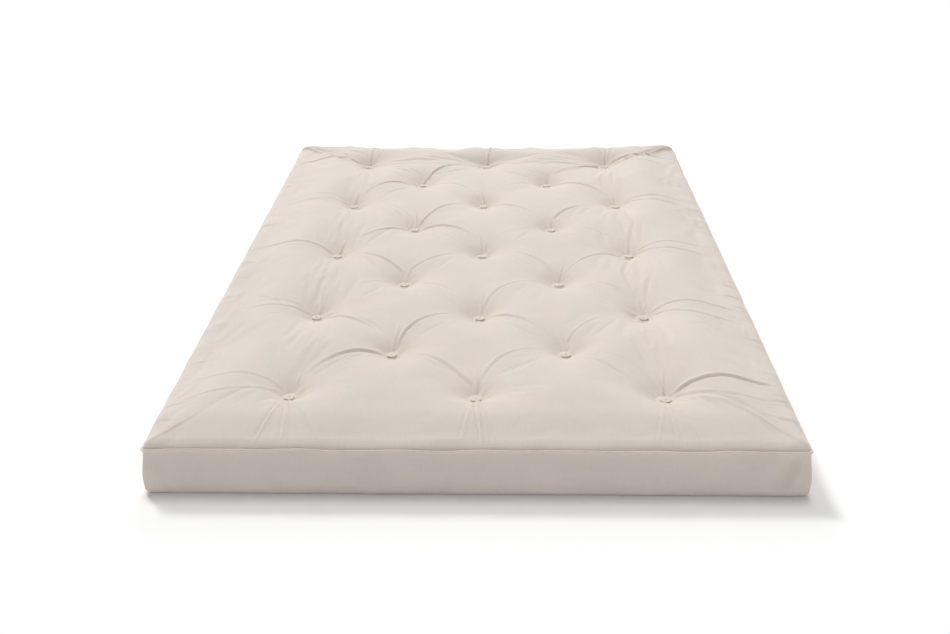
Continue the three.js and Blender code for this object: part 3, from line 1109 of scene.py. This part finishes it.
def rounded(low, high, edge, radius):
    """Round a layer's rim over."""
    middle = (low + high) / 2
    half = (high - low) / 2
    squeeze = np.sqrt(1 - (1 - np.clip(edge / radius, 0, 1)) ** 2) * 0.75 + 0.25
    return middle - half * squeeze, middle + half * squeeze


def add_batt(name, node, floor, ceiling, shares, inset, seed, finish):
    """One layer of batting, between two shares of the gap from floor to ceiling."""
    rng = draws(seed)
    x, y, edge = filling_plan(inset, 0.030)
    gap = ceiling - floor
    low = floor + gap * shares[0] + LAYER_GAP
    high = floor + gap * shares[1] - LAYER_GAP
    lumps = 0.0009 * ripples(rng, x, y, 20, 0.03, 0.14) * smooth(edge / 0.02)
    low, high = rounded(low, high, edge, 0.012)
    ragged = 0.0012 * ripples(rng, x, y, 12, 0.03, 0.10) * (1 - smooth(edge / 0.02))
    x = x * (1 + ragged / HALF_X)
    piece = closed_slab(name, x, y, low, np.maximum(high - np.abs(lumps), low + 0.002))
    finish_piece(piece, finish, [node])


def add_filling(quilt, batting, foam):
    x, y, _ = filling_plan(0.010, 0.030)
    top = resized(lowest_near(quilt[4], 5), *steps(x)) - 0.0022
    top = np.maximum(top, CORE_TOP + 0.006)
    core_top = np.full_like(top, CORE_TOP)
    core_base = np.full_like(top, CORE_BASE)
    gap, _ = from_ties(x, y)
    base = 0.0018 + 0.0165 * np.exp(-((gap / 0.055) ** 1.5))
    base = np.minimum(base, CORE_BASE - 0.006)
    upper, lower = (core_top, top), (base, core_base)
    add_batt("batt_upper_inner", "upper_batt_1", *upper, (0.0, 0.5), 0.006, 41, batting)
    add_batt("batt_upper_outer", "upper_batt_2", *upper, (0.5, 1.0), 0.012, 42, batting)
    add_batt("batt_lower_inner", "lower_batt_2", *lower, (0.5, 1.0), 0.014, 43, batting)
    add_batt("batt_lower_outer", "lower_batt_1", *lower, (0.0, 0.5), 0.018, 44, batting)
    cx, cy, edge = filling_plan(0.010, 0.024)
    rng = draws(45)
    skin = 0.0004 * ripples(rng, cx, cy, 14, 0.05, 0.3)
    low, high = rounded(core_base + LAYER_GAP, core_top - LAYER_GAP, edge, 0.004)
    core = closed_slab("core_foam", cx, cy, low, high + np.minimum(skin, 0))
    finish_piece(core, foam, ["foam_core"])


# ---- tufts
def pad_shape(centre, turn, face, rng):
    """A felt disc pinched across its middle by the twine, as points, quads and triangles."""
    rings, sides = 11, 44
    angle = np.linspace(0, 2 * math.pi, sides, endpoint=False)
    waist = 1 - 0.075 * np.exp(-((np.abs(np.sin(angle)) - 1) / 0.10) ** 2)
    outline = PAD_RADIUS * waist * (1 + 0.018 * np.sin(3 * angle + rng.uniform(0, 6)))
    outline *= 1 + 0.010 * np.sin(7 * angle + rng.uniform(0, 6))
    share = np.linspace(0, 1, rings + 1)[1:]
    u = (share[:, None] * outline * np.cos(angle)).ravel()
    v = (share[:, None] * outline * np.sin(angle)).ravel()
    around = np.repeat(share, sides)
    crown = PAD_THICKNESS * (1 - 0.55 * np.clip((around - 0.72) / 0.28, 0, 1) ** 2)
    pinch = np.exp(-((u / 0.0024) ** 2)) * (0.45 + 0.55 * np.exp(-((v / 0.006) ** 2)))
    upper = crown * (1 - 0.14 * pinch) + 0.00012 * ripples(rng, u, v, 8, 0.003, 0.009)
    lift = 0.0003 * (around ** 3) * (1 - np.exp(-((u / 0.006) ** 2)))
    top = np.stack([u, v, upper + lift], -1)
    bottom = np.stack([u * 0.985, v * 0.985, lift * 0.8], -1)
    points = np.concatenate([top, bottom, [[0, 0, PAD_THICKNESS * 0.58], [0, 0, 0]]])
    count = rings * sides
    index, turned, faces = tube_faces(rings, sides)
    quads_top = faces[:, [0, 3, 2, 1]]
    quads_bottom = quads_top[:, ::-1] + count
    wall = np.stack([index[-1], index[-1] + count, turned[-1] + count, turned[-1]], -1)
    fan_top = np.stack([np.full(sides, 2 * count), index[0], turned[0]], -1)
    fan_bottom = np.stack([np.full(sides, 2 * count + 1), turned[0] + count, index[0] + count], -1)
    quads = np.concatenate([quads_top, quads_bottom, wall])
    caps = np.concatenate([fan_top, fan_bottom])
    points[:, 2] *= face
    if face < 0:
        quads, caps = quads[:, ::-1], caps[:, ::-1]
    c, s = math.cos(turn), math.sin(turn)
    points = points @ np.array([[c, s, 0], [-s, c, 0], [0, 0, 1]]) + np.asarray(centre)
    return points, quads, caps


def knot_path(centre, size, turn, face):
    """A small overhand knot, as a closed trefoil opened at one point."""
    t = np.linspace(0.12, 2 * math.pi - 0.12, 54)
    u = size * (np.sin(t) + 2 * np.sin(2 * t)) / 3
    v = size * (np.cos(t) - 2 * np.cos(2 * t)) / 3
    w = -face * size * 0.34 * np.sin(3 * t)
    c, s = math.cos(turn), math.sin(turn)
    return np.stack([u * c - v * s, u * s + v * c, w], -1) + np.asarray(centre)


def stitch_path(x, y, turn, low, high, arch):
    """Both legs of a stitch from low up to high, over the pad and back down."""
    half = np.linspace(0, math.pi, 13)
    across = -STITCH_HALF * np.cos(half)
    rise = high + arch * np.sin(half) ** 0.7
    legs = np.arange(low, high, 0.0022)
    leg = np.full(len(legs), STITCH_HALF)
    u = np.concatenate([-leg, across, leg])
    z = np.concatenate([legs, rise, legs[::-1]])
    c, s = math.cos(turn), math.sin(turn)
    return np.stack([x - u * s, y + u * c, z], -1)


def add_pad(name, nodes, centre, turn, face, rng, felt):
    points, quads, caps = pad_shape(centre, turn, face, rng)
    pad = add_mesh(name, points, quads, caps=caps)
    finish_piece(pad, felt, nodes)


def add_knot(place, size, thickness, face, rng):
    path = knot_path(place, size, rng.uniform(0, 6), face)
    return tube(path, TWINE * thickness, 7, KNOT_LAY)


def add_tufts(felt, twine):
    """At each tie: a felt pad on each face, and a stitch through them with a knot at each end."""
    under = UNDER_SEAT + PAD_THICKNESS
    low = under - PAD_SUNK
    for key, x, y, drawn in TIES:
        rng = draws(60 + TIE_KEYS.index(key))
        seat = SEAT + 0.5 * drawn + 0.0002
        top = seat + PAD_SUNK
        middle = (low + top) / 2
        turn = rng.uniform(-0.45, 0.45)
        add_pad("felt_upper_" + key, ["tuft_pad_" + key], (x, y, seat), turn, 1, rng, felt)
        add_pad("felt_lower_" + key, [], (x, y, under), turn, -1, rng, felt)
        over = stitch_path(x, y, turn, middle + 0.001, top, 0.0012)
        lower = stitch_path(x, y, turn, -(middle - 0.001), -low, 0.0016)
        lower[:, 2] *= -1
        points, quads, caps, uv = joined([
            tube(over, TWINE, 8, TWINE_LAY),
            tube(lower, TWINE, 8, TWINE_LAY),
            add_knot((x, y, top + 0.0010), 0.0015, 0.70, 1, rng),
            add_knot((x, y, low - 0.0019), 0.0019, 0.85, -1, rng),
        ])
        tie = add_mesh("twine_" + key, points, quads, uv, caps)
        finish_piece(tie, twine, ["tuft_tie_" + key])


# ---- build
def build():
    add_camera()
    add_studio()
    canvas = canvas_material("canvas", (0.690, 0.620, 0.560))
    # The border is the same canvas as the panels; its colour here is a little darker and greyer,
    # painted shade for the dimmer light on the upright strips.
    shaded_border_canvas = canvas_material("canvas_border_painted_shade", (0.680, 0.606, 0.550))
    quilt = make_quilt()
    add_top_panel(quilt, canvas)
    add_bottom_panel(quilt, canvas)
    add_borders(shaded_border_canvas)
    add_filling(quilt, batting_material(), foam_material())
    add_tufts(felt_material(), twine_material())


build()
